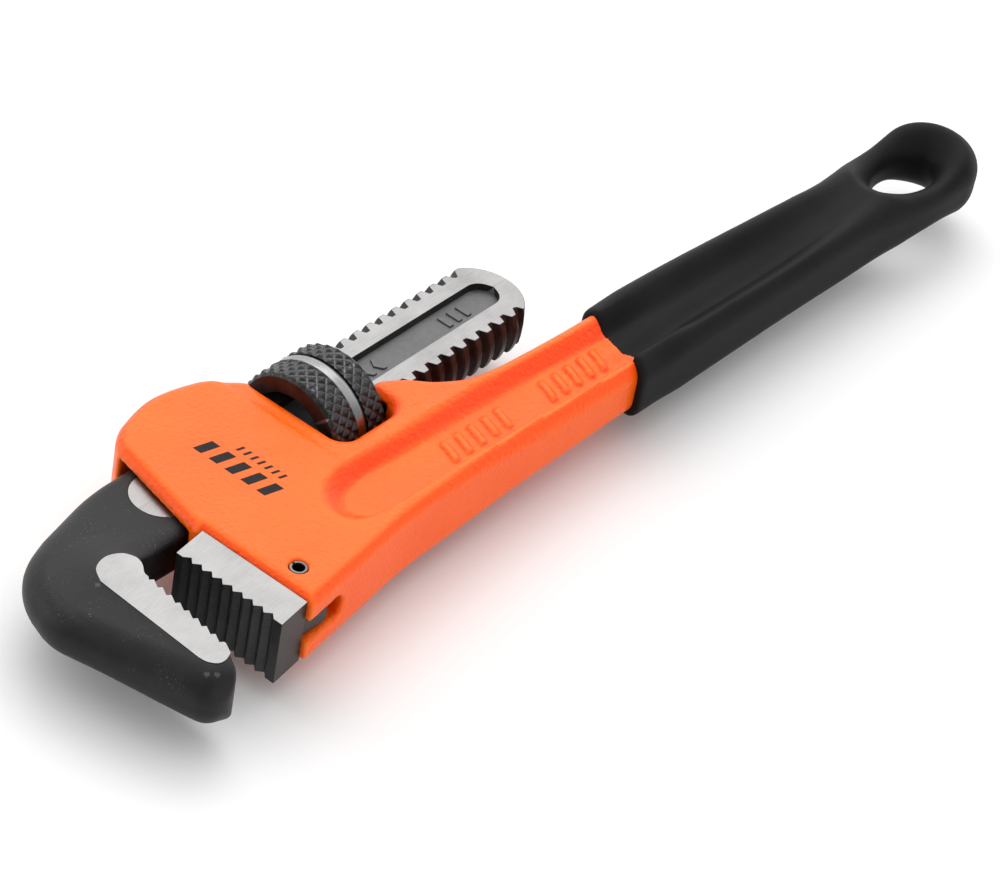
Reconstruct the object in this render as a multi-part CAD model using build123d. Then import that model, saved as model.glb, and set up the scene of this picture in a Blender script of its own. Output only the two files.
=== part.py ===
from build123d import *
import math
import os

# Adjustable pipe wrench of the straight-handled, floating hook jaw kind.
# Wrench frame while modelling: +X runs from the handle to the jaws along the shank axis (y = 0),
# x = 0 is the seat of the heel jaw, +Y points to the mouth, +Z up, z = 0 is the mid-plane.

# ---- handle and housing (mm) ----
HOUSING_THICKNESS = 17.0
EDGE_ROUND = 2.4           # rounded rims of the casting
HANDLE_ROUND = 3.0         # rounded rims of the handle inside the grip
HANDLE_TAPER = 0.0125      # loss of half thickness per mm toward the ring
TAPER_FROM_X = -70.0
WEB_HALF = 5.0             # half thickness of the web at the floor of the recess
RECESS_END_X = -196.0
GRIP_SKIN = 1.9
GRIP_ROUND = 5.2
RING_CENTRE = (-231.5, 34.2)
RING_R = 12.0
WINDOW_WIDTH = 17.9

# ---- heel jaw and pin ----
HEEL_THICKNESS = 15.5
HEEL_HEIGHT = 8.7
HEEL_TEETH = 9
TONGUE_HALF = 2.6
SEAT_GAP = 0.03
PIN_R = 1.85
PIN_WALL = 0.55
PIN_XY = (-5.8, 34.6)

# ---- hook jaw ----
THREADS_PER_INCH = 6
THREAD_VALLEYS = 20        # on each edge of the shank
VALLEY_X = -48.55          # one thread valley on the mouth side of the shank
FLANK = 0.47               # slope of the thread flanks
SHANK_MAJOR_R = 10.7
SHANK_MINOR_R = 9.15
SHANK_THICKNESS = 10.2
SHANK_END = -114.2
NECK_END = 9.5
HOOK_HALF = 6.4
HOOK_ROUND = 4.8
HOOK_TEETH = 9
TEETH_FOOT = (17.1, 17.2)  # ends of the line through the crests of the teeth
TEETH_TOP = (20.1, 39.2)
PAD_HALF = 7.2

# ---- adjusting nut ----
NUT_WIDTH = 15.8
NUT_RADIUS = 13.8
NUT_CENTRE_X = -50.9
NUT_CHAMFER = 1.0

# ---- springs ----
SPRING_X = -24.0           # coil spring and plunger, in the arch
LEAF_LOW = -36.0
LEAF_HIGH = -9.0
LEAF_WALL = 13.0
LEAF_THICKNESS = 0.6
RIVET_X = -33.0
RIVET_R = 1.2

# ---- worked out ----
PITCH = 25.4 / THREADS_PER_INCH
HALF_T = HOUSING_THICKNESS / 2
SHANK_HALF = SHANK_THICKNESS / 2
PASSAGE_HALF = SHANK_HALF + 0.4
PASSAGE_LOW = 12.6
PASSAGE_HIGH = SHANK_MAJOR_R + 0.7
NUT_BORE_R = SHANK_MINOR_R + 0.2
NUT_ROOT_R = SHANK_MAJOR_R + 0.25
WINDOW_FRONT = NUT_CENTRE_X + WINDOW_WIDTH / 2
WINDOW_REAR = NUT_CENTRE_X - WINDOW_WIDTH / 2
WINDOW_FLOOR = NUT_RADIUS + 1.3


def half_thickness(x):
    """Half thickness of the bare handle at a distance along the tool."""
    return HALF_T - HANDLE_TAPER * max(0.0, TAPER_FROM_X - x)


def slab(face, low, high):
    """A flat face in the XY plane raised between two heights."""
    return extrude(Pos(0, 0, low) * face, high - low)


def box_between(low, high):
    """A box from its low corner to its high corner."""
    size = [b - a for a, b in zip(low, high)]
    middle = [(a + b) / 2 for a, b in zip(low, high)]
    return Pos(*middle) * Box(*size)


def round_rims(solid, radius, keep=lambda edge: True):
    """Round the upper and lower rims of a plate-like solid."""
    rims = [e for e in solid.edges() if is_rim(e) and keep(e)]
    return fillet(rims, radius)


def is_rim(edge):
    """True for the edges that lie on the top or bottom skin of a plate."""
    a, b, c = edge @ 0.02, edge @ 0.5, edge @ 0.98
    same_side = a.Z * c.Z > 0 and a.Z * b.Z > 0
    return same_side and abs(a.Z - c.Z) < 3.0 and min(abs(a.Z), abs(c.Z)) > 4.0


# ---- handle and housing -------------------------------------------------------------
def housing_face():
    """Plan of the housing block, its nut window and the first stretch of the handle."""
    nose_low, nose_high = (-5.4, -13.4), (1.3, 14.4)
    arch_end = (WINDOW_FRONT, -11.0)
    ledge_tip, ledge_start = (WINDOW_REAR, 4.7), (-64.2, 6.3)
    boundary = [
        Line(nose_high, nose_low),
        Spline(nose_low, (-12.9, -18.9), (-22.6, -20.7), (-33.6, -18.2), arch_end),
        Polyline(arch_end, (WINDOW_FRONT, WINDOW_FLOOR), (WINDOW_REAR, WINDOW_FLOOR),
                 ledge_tip, ledge_start),
        Spline(ledge_start, (-73.4, 14.4), (-82.0, 18.4), (-99.7, 20.3), (-126.0, 21.3),
               tangents=[(-4.35, 1.6), (-1, 0.05)]),
        Polyline((-126.0, 21.3), (-126.0, 39.6), (-112.0, 39.8)),
        Spline((-112.0, 39.8), (-75.0, 39.1), (-40.0, 39.0), (-18.0, 41.3), (0.0, 43.6)),
        Polyline((0.0, 43.6), (0.0, 14.4), nose_high),
    ]
    face = make_face(Wire(sum((list(part.edges()) for part in boundary), [])))
    corners = [(WINDOW_FRONT, WINDOW_FLOOR, 3.6), (WINDOW_REAR, WINDOW_FLOOR, 3.6), (*nose_low, 3.0),
               (*arch_end, 2.7), (*ledge_tip, 2.7)]
    for x, y, radius in corners:
        corner = face.vertices().sort_by_distance((x, y, 0))[0]
        face = fillet(corner, radius)
    return face


def grip_face(inset):
    """Plan of the dipped grip, or with an inset of the bare handle inside it, ending in the ring."""
    cx, cy = RING_CENTRE
    radius = RING_R - inset
    near, far = (cx, cy - radius), (cx, cy + radius)
    low = [(-104.0, 18.2), (-140.6, 19.8), (-175.0, 22.4), (-198.0, 23.8), (-214.7, 22.7)]
    high = [(-218.5, 45.7), (-204.0, 44.2), (-188.8, 43.3), (-150.8, 42.4), (-104.0, 41.6)]
    low = [(x, y + inset) for x, y in low]
    high = [(x, y - inset) for x, y in high]
    boundary = [
        Spline(*low, near, tangents=[(-1, 0.03), (-1, 0)]),
        ThreePointArc(near, (cx - radius, cy), far),
        Spline(far, *high, tangents=[(1, 0), (1, -0.01)]),
        Line(high[-1], low[0]),
    ]
    return make_face(Wire(sum((list(part.edges()) for part in boundary), [])))


def hang_hole_face(grow):
    """Teardrop hanging hole: two circles and the tapering sides between them."""
    big, small = (-226.3, 34.3), (-209.5, 33.8)
    r_big, r_small = 5.6 + grow, 3.4 + grow
    return make_hull((Pos(*big) * Circle(r_big)).edges() + (Pos(*small) * Circle(r_small)).edges())


def tapered(face, low_x, extra):
    """Plate whose two skins close in toward the ring end."""
    far_x = -250.0
    plate = slab(face, -HALF_T - 4, HALF_T + 4)
    z_near, z_far = half_thickness(low_x) + extra, half_thickness(far_x) + extra
    side = Polyline((low_x, -z_near), (low_x, z_near), (far_x, z_far), (far_x, -z_far), close=True)
    wedge = extrude(Pos(0, 60, 0) * (Rot(90, 0, 0) * make_face(side)), 60)
    return plate & wedge


def recess_tool():
    """Long spoon-shaped recess of the I-section, on the upper side."""
    far_x = RECESS_END_X
    rim = [(far_x, 25.3), (-113.0, 22.6), (-80.0, 20.6), (-36.0, 19.0)]
    rim_end, rim_nose = (-31.5, 35.4), (-21.9, 28.0)
    rim_back = [(-113.0, 37.4), (far_x, 38.6)]
    floor = [(far_x, 29.0), (-113.0, 27.6), (-80.0, 26.0), (-41.0, 24.4)]
    floor_end, floor_nose = (-36.0, 33.2), (-30.8, 29.2)
    floor_back = [(-113.0, 35.2), (far_x, 36.4)]
    top = outline_with_nose(rim, rim_nose, rim_end, rim_back)
    bottom = outline_with_nose(floor, floor_nose, floor_end, floor_back)
    return loft([Pos(0, 0, WEB_HALF) * bottom, Pos(0, 0, HALF_T + 0.01) * top], ruled=True)


def outline_with_nose(side, nose, end, back):
    """Closed face: a long side, a round nose, and the long side back."""
    boundary = [Polyline(*side), ThreePointArc(side[-1], nose, end), Polyline(end, *back),
                Line(back[-1], side[0])]
    return make_face(Wire(sum((list(part.edges()) for part in boundary), [])))


def rounded_rim(edge):
    """Rims of the housing block that are rounded: all but the heel seat and the hidden handle end."""
    a, b = edge @ 0, edge @ 1
    on_seat = abs(a.X) < 0.01 and abs(b.X) < 0.01
    in_grip = a.X < -125.5 and b.X < -125.5
    lip = edge.length < 1.35 and a.X > -1
    return not (on_seat or in_grip or lip)


def handle_housing():
    """Housing block and I-section handle, one casting, with every passage and pocket cut in."""
    block = round_rims(slab(housing_face(), -HALF_T, HALF_T), EDGE_ROUND, rounded_rim)
    bar = round_rims(tapered(grip_face(GRIP_SKIN), -118.0, 0.0), HANDLE_ROUND)
    body = block + bar
    hollow = recess_tool()
    cuts = [hollow, mirror(hollow, Plane.XY), slab(hang_hole_face(GRIP_SKIN), -20, 20)]
    half = PASSAGE_HALF
    cuts.append(box_between((WINDOW_FRONT - 1, -PASSAGE_LOW, -half), (6, PASSAGE_HIGH, half)))
    cuts.append(box_between((-92, -5, -half), (WINDOW_REAR + 1, PASSAGE_HIGH, half)))
    cuts.append(tail_slot())
    cuts.append(Pos(*PIN_XY, 0) * Cylinder(PIN_R + 0.02, 30))
    cuts.append(along_y(SPRING_X, -19.0, -PASSAGE_LOW + 1, 2.5))
    cuts.append(box_between((LEAF_LOW - 1.5, PASSAGE_HIGH - 1, -4.7), (LEAF_HIGH + 1.5, LEAF_WALL, 4.7)))
    cuts.append(along_y(RIVET_X, LEAF_WALL - 1, LEAF_WALL + 4, RIVET_R + 0.02))
    return body - cuts


def along_y(x, low, high, radius):
    """A round bar lying along Y at mid-height."""
    return Pos(x, (low + high) / 2, 0) * Rot(90, 0, 0) * Cylinder(radius, high - low)


def tail_slot():
    """Slot for the tongue of the heel jaw, round at its inner end and open to the mouth side."""
    half = TONGUE_HALF + 0.3
    centre_x = -12.2 + half
    slot = box_between((centre_x, 19.5, -half), (3, 60, half))
    return slot + along_y(centre_x, 19.5, 60, half)


# ---- heel jaw and its pin ------------------------------------------------------------
def vee(depth, near, far):
    """Plan of one V notch pointing along +X, its mouth from -near to +far along Y."""
    return make_face(Polyline((0, -near), (-depth, 0), (0, far), (1.5, far), (1.5, -near), close=True))


def heel_jaw():
    """Toothed block with a tongue that sits in the housing slot."""
    half, lean = HEEL_THICKNESS / 2, 1.05
    low, high = 14.55, 42.2
    plan = Polyline((SEAT_GAP, low), (HEEL_HEIGHT, low + lean), (HEEL_HEIGHT, high + lean),
                    (SEAT_GAP, high), close=True)
    block = slab(make_face(plan), -half, half)
    tongue = box_between((-8.2, 21.0, -TONGUE_HALF), (SEAT_GAP + 1, 41.6, TONGUE_HALF))
    tongue = fillet(tongue.edges().filter_by(Axis.Y).sort_by(Axis.X)[:2], 1.6)
    pitch = 2.66
    first = high + lean - 3.37 - (HEEL_TEETH - 1) * pitch
    notch = slab(vee(1.1, 1.3, 1.17), -half - 1, half + 1)
    notches = [Pos(HEEL_HEIGHT, first + i * pitch, 0) * notch for i in range(HEEL_TEETH)]
    hole = Pos(*PIN_XY, 0) * Cylinder(PIN_R + 0.02, 30)
    return (block + tongue) - notches - hole


def heel_jaw_pin():
    """Rolled spring pin, slotted along its whole length."""
    length = HOUSING_THICKNESS - 0.6
    tube = Cylinder(PIN_R, length) - Cylinder(PIN_R - PIN_WALL, length + 1)
    slot = Pos(PIN_R, 0, 0) * Box(2 * PIN_R, 0.6, length + 1)
    return Pos(*PIN_XY, 0) * Rot(0, 0, -96) * (tube - slot)


# ---- hook jaw --------------------------------------------------------------------------
def lens_bar(low_x, high_x, radius):
    """Round bar along X with its top and bottom milled flat."""
    bar = Pos((low_x + high_x) / 2, 0, 0) * Rot(0, 90, 0) * Cylinder(radius, high_x - low_x)
    return bar & box_between((low_x, -20, -SHANK_HALF), (high_x, 20, SHANK_HALF))


def thread_notches():
    """Thread valleys on both edges of the flat shank, each a short stretch of a right-hand helix."""
    root, top_r = 0.62, SHANK_MAJOR_R + 1
    spread = root + (top_r - SHANK_MINOR_R) * FLANK
    profile = make_face(Polyline((-root, SHANK_MINOR_R), (root, SHANK_MINOR_R), (spread, top_r),
                                 (-spread, top_r), close=True))
    lead = math.degrees(math.atan(PITCH / (math.pi * (SHANK_MAJOR_R + SHANK_MINOR_R))))
    arc = Rot(-55, 0, 0) * revolve(profile, Axis.X, 110)
    notches = []
    for side, shift in ((0, 0.0), (180, 0.5)):
        tilted = Rot(0, lead if side == 0 else -lead, 0) * (Rot(side, 0, 0) * arc)
        first = math.ceil((-108.6 - VALLEY_X) / PITCH - shift)
        for k in range(first, first + THREAD_VALLEYS):
            notches.append(Pos(VALLEY_X + (k + shift) * PITCH, 0, 0) * tilted)
    return notches


def hook_face():
    """Plan of the hook head: a back that bends twice, a blunt nose, the tooth row and the throat."""
    back = [(NECK_END, -10.9), (21.9, -7.9), (33.6, -3.7), (38.5, 10.4)]
    nose = [(31.2, 44.6), (24.6, 48.6)]
    mouth = [TEETH_TOP, TEETH_FOOT, (15.4, 11.4), (NECK_END, 10.7)]
    face = make_face(Polyline(*back, *nose, *mouth, close=True))
    for corner, radius in zip(back[1:] + nose, (20.0, 18.0, 13.0, 5.2, 4.9)):
        vertex = face.vertices().sort_by_distance((*corner, 0))[0]
        face = fillet(vertex, radius)
    return face


def pad_face():
    """Plan of the ground pad behind the hook teeth."""
    boundary = [
        Line(TEETH_FOOT, TEETH_TOP),
        Line(TEETH_TOP, (21.3, 41.4)),
        ThreePointArc((21.3, 41.4), (24.9, 42.3), (26.9, 38.8)),
        Line((26.9, 38.8), (25.3, 11.6)),
        ThreePointArc((25.3, 11.6), (20.2, 6.9), (15.4, 11.6)),
        Line((15.4, 11.6), TEETH_FOOT),
    ]
    return make_face(Wire(sum((list(part.edges()) for part in boundary), [])))


def hook_rim(edge):
    """Rims of the hook head that are rounded: all but the tooth row, the throat and the neck side."""
    a, middle, b = edge @ 0, edge @ 0.5, edge @ 1
    neck_side = max(a.X, b.X) < NECK_END + 0.1
    mouth_side = middle.X < 21.5 and middle.Y > 10
    return not (neck_side or mouth_side)


def hook_jaw():
    """Threaded flat shank, neck and forged hook in one piece."""
    shank = lens_bar(SHANK_END, NECK_END + 3, SHANK_MAJOR_R)
    straight = Pos(SHANK_END / 2 + 20, 0) * Rectangle(40 - SHANK_END - 20.4, 30)
    round_end = Pos(SHANK_END + 10.2, 0) * Ellipse(10.2, 11.2)
    shank = (shank & slab(straight + round_end, -10, 10)) - thread_notches()
    slot = Pos(-67.0, 0, 0) * SlotOverall(85.0, 8.0)
    slots = [slab(slot, 3.5, 8), slab(slot, -8, -3.5)]
    head = slab(hook_face(), -HOOK_HALF, HOOK_HALF)
    head = round_rims(head, HOOK_ROUND, hook_rim)
    rear = [e for e in head.edges() if abs((e @ 0.5).X - NECK_END) < 0.01 and abs((e @ 0.5).Z) > 6]
    head = chamfer(rear, 1.25)
    pad = slab(pad_face(), -PAD_HALF, PAD_HALF)
    body = shank + head + pad
    run_x, run_y = TEETH_TOP[0] - TEETH_FOOT[0], TEETH_TOP[1] - TEETH_FOOT[1]
    along = Pos(*TEETH_FOOT, 0) * Rot(0, 0, -math.degrees(math.atan2(run_x, run_y)))
    notch = Rot(0, 0, 180) * slab(vee(0.85, 0.5, 2.1), -12, 12)
    step = math.hypot(run_x, run_y) / (HOOK_TEETH - 0.62)
    teeth = [along * Pos(0, i * step, 0) * notch for i in range(HOOK_TEETH)]
    return body - slots - teeth


# ---- adjusting nut -----------------------------------------------------------------------
def adjusting_nut():
    """Knurled nut with a right-hand thread that carries the shank."""
    half = NUT_WIDTH / 2
    profile = Polyline((-half, NUT_BORE_R), (-half, NUT_RADIUS - NUT_CHAMFER),
                       (-half + NUT_CHAMFER, NUT_RADIUS), (-2.0, NUT_RADIUS), (-2.0, NUT_RADIUS - 0.7),
                       (-1.5, NUT_RADIUS - 0.7), (-1.2, NUT_RADIUS - 0.2), (0.9, NUT_RADIUS - 0.2),
                       (1.1, NUT_RADIUS), (half - NUT_CHAMFER, NUT_RADIUS),
                       (half, NUT_RADIUS - NUT_CHAMFER), (half, NUT_BORE_R), close=True)
    blank = Pos(NUT_CENTRE_X, 0, 0) * revolve(make_face(profile), Axis.X)
    mouth_half, inner_r = 1.67, NUT_BORE_R - 0.6
    inner = mouth_half + (NUT_BORE_R - inner_r) * FLANK
    outer = mouth_half - (NUT_ROOT_R - NUT_BORE_R) * FLANK
    groove = make_face(Polyline((inner_r, -inner), (NUT_ROOT_R, -outer), (NUT_ROOT_R, outer),
                                (inner_r, inner), close=True))
    turns = 6
    low = NUT_CENTRE_X - half - PITCH
    start = VALLEY_X + PITCH / 4 + math.floor((low - VALLEY_X - PITCH / 4) / PITCH) * PITCH
    turn = Rot(0, 90, 0) * sweep(Plane.XZ * groove, Helix(PITCH, PITCH, NUT_BORE_R), is_frenet=True)
    for i in range(turns):
        blank -= Pos(start + i * PITCH, 0, 0) * turn
    return blank


# ---- springs that keep the hook jaw floating ----------------------------------------------
def flat_spring():
    """Bowed leaf spring along the mouth-side wall of the passage."""
    outer = LEAF_WALL - 0.05
    crest = outer - 1.9
    thick = LEAF_THICKNESS
    boundary = [
        Line((LEAF_LOW, outer - thick), (LEAF_LOW, outer)),
        Line((LEAF_LOW, outer), (RIVET_X + 2.6, outer)),
        Spline((RIVET_X + 2.6, outer), (-20.0, crest + thick), (LEAF_HIGH, outer),
               tangents=[(1, 0), (1, 0.35)]),
        Line((LEAF_HIGH, outer), (LEAF_HIGH, outer - thick)),
        Spline((LEAF_HIGH, outer - thick), (-20.0, crest), (RIVET_X + 2.6, outer - thick),
               tangents=[(-1, -0.35), (-1, 0)]),
        Line((RIVET_X + 2.6, outer - thick), (LEAF_LOW, outer - thick)),
    ]
    leaf = slab(make_face(Wire(sum((list(part.edges()) for part in boundary), []))), -4, 4)
    return leaf - along_y(RIVET_X, 5, 20, RIVET_R + 0.02)


def flat_spring_rivet():
    """Domed rivet holding the leaf spring."""
    shaft = along_y(RIVET_X, LEAF_WALL - 0.7, LEAF_WALL + 3.8, RIVET_R)
    head = along_y(RIVET_X, LEAF_WALL - 1.35, LEAF_WALL - 0.68, 2.2)
    head = fillet(head.edges().sort_by(Axis.Y)[0], 0.45)
    return shaft + head


def coil_spring():
    """Small compression spring standing in its pocket in the arch."""
    wire, radius, coils = 0.28, 1.85, 6
    height = 5.6
    path = Helix(height / coils, height, radius)
    start = path @ 0
    section = Plane(start, z_dir=path % 0) * Circle(wire)
    spring = sweep(section, path, is_frenet=True)
    return Pos(SPRING_X, -13.0, 0) * Rot(90, 0, 0) * spring


def spring_plunger():
    """Headed plunger between the coil spring and the shank."""
    head = along_y(SPRING_X, -12.6, -11.1, 2.2)
    head = fillet(head.edges().sort_by(Axis.Y)[-1], 0.7)
    return head + along_y(SPRING_X, -15.6, -12.5, 1.35)


# ---- grip -------------------------------------------------------------------------------------
def grip_solid():
    """Outer shape of the dipped grip: rounded, tapering, with the recess showing through faintly."""
    outer = tapered(grip_face(0.0), -104.0, GRIP_SKIN)
    outer = round_rims(outer, GRIP_ROUND, lambda edge: (edge @ 0.5).X < -104.5)
    side = make_face(Polyline((-96, 6.0), (-96, 12), (-205, 12), (-205, 8.6), close=True))
    fade = extrude(Pos(0, 34.6, 0) * Rot(90, 0, 0) * side, 7.0)
    hollows = [fade, mirror(fade, Plane.XY)]
    return outer - hollows - slab(hang_hole_face(0), -20, 20)


def handle_grip(casting):
    """Soft dipped skin over the handle."""
    cut_line = Polyline((-117.0, 10), (-117.0, 18.5), (-108.6, 39.5), (-108.6, 60), (-260, 60), (-260, 10),
                        close=True)
    skin = grip_solid() & slab(make_face(cut_line), -20, 20)
    return skin - casting


def main():
    casting = handle_housing()
    pieces = {
        "handle_housing": casting,
        "handle_grip": handle_grip(casting),
        "hook_jaw": hook_jaw(),
        "adjusting_nut": adjusting_nut(),
        "heel_jaw": heel_jaw(),
        "heel_jaw_pin": heel_jaw_pin(),
        "flat_spring": flat_spring(),
        "flat_spring_rivet": flat_spring_rivet(),
        "coil_spring": coil_spring(),
        "spring_plunger": spring_plunger(),
    }
    boxes = [piece.bounding_box() for piece in pieces.values()]
    mid_x = (min(b.min.X for b in boxes) + max(b.max.X for b in boxes)) / 2
    mid_y = (min(b.min.Y for b in boxes) + max(b.max.Y for b in boxes)) / 2
    floor_z = min(b.min.Z for b in boxes)
    os.makedirs("parts", exist_ok=True)
    for name, piece in pieces.items():
        placed = Pos(-mid_x, -mid_y, -floor_z) * piece
        export_step(placed.solids()[0], f"parts/{name}.step")


main()
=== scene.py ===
import math

import bpy
import numpy as np
from mathutils import Matrix, Vector


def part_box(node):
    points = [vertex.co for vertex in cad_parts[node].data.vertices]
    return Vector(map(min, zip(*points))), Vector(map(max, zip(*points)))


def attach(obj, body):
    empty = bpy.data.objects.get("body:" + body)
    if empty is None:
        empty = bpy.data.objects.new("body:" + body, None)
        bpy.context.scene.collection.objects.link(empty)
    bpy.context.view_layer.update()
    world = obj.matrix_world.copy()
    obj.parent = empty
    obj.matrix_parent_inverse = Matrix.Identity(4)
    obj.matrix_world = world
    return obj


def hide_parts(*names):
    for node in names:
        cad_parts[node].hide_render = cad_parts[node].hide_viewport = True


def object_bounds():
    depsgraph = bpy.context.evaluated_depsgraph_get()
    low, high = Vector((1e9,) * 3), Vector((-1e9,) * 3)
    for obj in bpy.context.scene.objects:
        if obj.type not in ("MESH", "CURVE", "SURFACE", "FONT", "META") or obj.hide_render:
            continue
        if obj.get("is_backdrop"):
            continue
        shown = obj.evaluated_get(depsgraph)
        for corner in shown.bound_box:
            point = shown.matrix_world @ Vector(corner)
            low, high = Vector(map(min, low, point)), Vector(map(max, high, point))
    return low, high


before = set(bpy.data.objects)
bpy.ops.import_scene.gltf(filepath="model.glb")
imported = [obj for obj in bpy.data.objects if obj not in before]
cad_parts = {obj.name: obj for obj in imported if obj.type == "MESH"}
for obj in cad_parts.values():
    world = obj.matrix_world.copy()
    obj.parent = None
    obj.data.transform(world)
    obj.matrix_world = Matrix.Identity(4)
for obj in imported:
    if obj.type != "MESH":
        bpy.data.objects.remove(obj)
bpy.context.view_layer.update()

# The wrench frame used below is in millimetres: x = 0 is the seat of the heel jaw and +X points to
# the jaws, y = 0 is the axis of shank and nut and +Y points to the mouth, z = 0 is the mid-plane.
MM = 0.001

# ---- driving dimensions (mm), as in the CAD model where it has them ----
PITCH = 25.4 / 6
HALF_T = 8.5
HANDLE_TAPER = 0.0125
TAPER_FROM_X = -70.0
HEEL_HALF = 7.75
HEEL_HEIGHT = 8.7
SHANK_HALF = 5.1
SHANK_MAJOR_R = 10.7
SHANK_MINOR_R = 9.15
SHANK_END = -114.2
VALLEY_X = -48.55
NUT_X = -50.9
NUT_WIDTH = 15.8
NUT_R = 13.8
NUT_BORE_R = SHANK_MINOR_R + 0.2
NUT_ROOT_R = SHANK_MAJOR_R + 0.25
WINDOW_FRONT = NUT_X + 8.95
WINDOW_REAR = NUT_X - 8.95
WINDOW_FLOOR = NUT_R + 1.3
PASSAGE_HALF = SHANK_HALF + 0.4
PASSAGE_LOW, PASSAGE_HIGH = -12.6, 11.4
PIN_XY = (-5.8, 34.6)
PIN_R = 1.85
RING = (-231.5, 34.2)
RING_R = 12.0
HOLE_CENTRE = (-220.6, 34.1)
HOLE_HALF_LENGTH = 10.4
HOLE_HALF_WIDTH = 5.6
PAINT_END = -126.0
GRIP_START = -117.0
GRIP_SKIN = 1.9
GRIP_RECESS = 4.4
HANDLE_RECESS = 3.3
RELIEF_HEIGHT = 0.7
WINDOW_STEP = 0.5
HEEL_TEETH = 9
PIN_HALF = 8.2
TEETH_FOOT = (17.1, 17.2)
TEETH_TOP = (20.1, 39.2)
HOOK_TEETH = 9
PAD_HALF = 7.2
TOOTH_DEPTH = 0.85
TOOTH_NORMAL = (0.9908, -0.1351)
CRESCENT_X, CRESCENT_R = -4.5, 6.8
SLOT_LOW, SLOT_HIGH = -109.5, -24.5
RECESS_DEPTH = 1.6
KNURLS = 30
KNURL_DEPTH = 0.6

nut_low, nut_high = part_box("adjusting_nut")
heel_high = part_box("heel_jaw")[1]
ORIGIN = Vector((heel_high.x - HEEL_HEIGHT * MM, (nut_low.y + nut_high.y) / 2,
                 (nut_low.z + nut_high.z) / 2))


# ---- signed distance tools (mm) ----------------------------------------------------------
class Grid:
    """Sample points of a box, and the plan coordinates as broadcastable arrays."""

    def __init__(self, low, high, step):
        self.low, self.step = np.array(low, float), step
        counts = [int(math.ceil((b - a) / step)) + 1 for a, b in zip(low, high)]
        axes = [self.low[i] + step * np.arange(counts[i]) for i in range(3)]
        self.x = axes[0][:, None, None]
        self.y = axes[1][None, :, None]
        self.z = axes[2][None, None, :]
        self.plan_x, self.plan_y = np.meshgrid(axes[0], axes[1], indexing="ij")

    def plan(self, outline):
        """Signed distance in plan to a closed outline, negative inside."""
        return polygon_distance(np.array(outline), self.plan_x, self.plan_y)[:, :, None]


def polygon_distance(points, px, py):
    """Signed distance from sample points to a closed polygon."""
    best = np.full(px.shape, 1e9)
    inside = np.zeros(px.shape, bool)
    for (ax, ay), (bx, by) in zip(points, np.roll(points, -1, axis=0)):
        ex, ey = bx - ax, by - ay
        length2 = ex * ex + ey * ey
        if length2 < 1e-12:
            continue
        t = np.clip(((px - ax) * ex + (py - ay) * ey) / length2, 0, 1)
        best = np.minimum(best, (px - ax - t * ex) ** 2 + (py - ay - t * ey) ** 2)
        if ay != by:
            crosses = (ay > py) != (by > py)
            inside ^= crosses & (px < ex * (py - ay) / ey + ax)
    return np.where(inside, -1.0, 1.0) * np.sqrt(best)


def smooth_min(a, b, k):
    """Union of two fields with a fillet of about k."""
    h = np.clip(k - np.abs(a - b), 0, None) / k
    return np.minimum(a, b) - h * h * k / 4


def smooth_max(a, b, k):
    """Intersection of two fields with a rounded edge of about k."""
    return -smooth_min(-a, -b, k)


def plate(plan, z, half, radius):
    """Plate of a plan outline and half thickness, its rims rounded to a radius."""
    a, b = plan + radius, np.abs(z) - half + radius
    outside = np.sqrt(np.clip(a, 0, None) ** 2 + np.clip(b, 0, None) ** 2)
    return outside + np.minimum(np.maximum(a, b), 0) - radius


def box_field(grid, low, high):
    """Signed distance to a box."""
    parts = []
    for axis, a, b in zip((grid.x, grid.y, grid.z), low, high):
        parts.append(np.abs(axis - (a + b) / 2) - (b - a) / 2)
    outside = np.sqrt(sum(np.clip(p, 0, None) ** 2 for p in parts))
    return outside + np.minimum(np.maximum(np.maximum(parts[0], parts[1]), parts[2]), 0)


def smoothstep(t):
    """0 to 1 with level ends."""
    t = np.clip(t, 0, 1)
    return t * t * (3 - 2 * t)


def curve(points, per_span=8):
    """Points of a smooth open curve through the given ones."""
    p = np.array([points[0]] + list(points) + [points[-1]], float)
    out = []
    for i in range(1, len(p) - 2):
        for t in np.linspace(0, 1, per_span, endpoint=False):
            a = 2 * p[i]
            b = (p[i + 1] - p[i - 1]) * t
            c = (2 * p[i - 1] - 5 * p[i] + 4 * p[i + 1] - p[i + 2]) * t * t
            d = (-p[i - 1] + 3 * p[i] - 3 * p[i + 1] + p[i + 2]) * t ** 3
            out.append((a + b + c + d) / 2)
    return [tuple(q) for q in out] + [tuple(points[-1])]


def arc(centre, radius, start, stop, count=16):
    """Points along a circular arc, angles in degrees."""
    angles = np.radians(np.linspace(start, stop, count))
    return [(centre[0] + radius * math.cos(a), centre[1] + radius * math.sin(a)) for a in angles]


def rounded(points, radii, count=7):
    """Closed outline whose corners are rounded, each to its own radius (0 keeps it sharp)."""
    out = []
    total = len(points)
    for i, (corner, radius) in enumerate(zip(points, radii)):
        c = np.array(corner, float)
        a = np.array(points[i - 1], float) - c
        b = np.array(points[(i + 1) % total], float) - c
        if radius == 0:
            out.append(tuple(c))
            continue
        a, b = a / np.linalg.norm(a), b / np.linalg.norm(b)
        half = math.acos(max(-1.0, min(1.0, float(a @ b)))) / 2
        centre = c + (a + b) / np.linalg.norm(a + b) * radius / math.sin(half)
        first = c + a * radius / math.tan(half) - centre
        last = c + b * radius / math.tan(half) - centre
        for t in np.linspace(0, 1, count):
            spoke = first * (1 - t) + last * t
            out.append(tuple(centre + spoke / np.linalg.norm(spoke) * radius))
    return out


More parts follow.
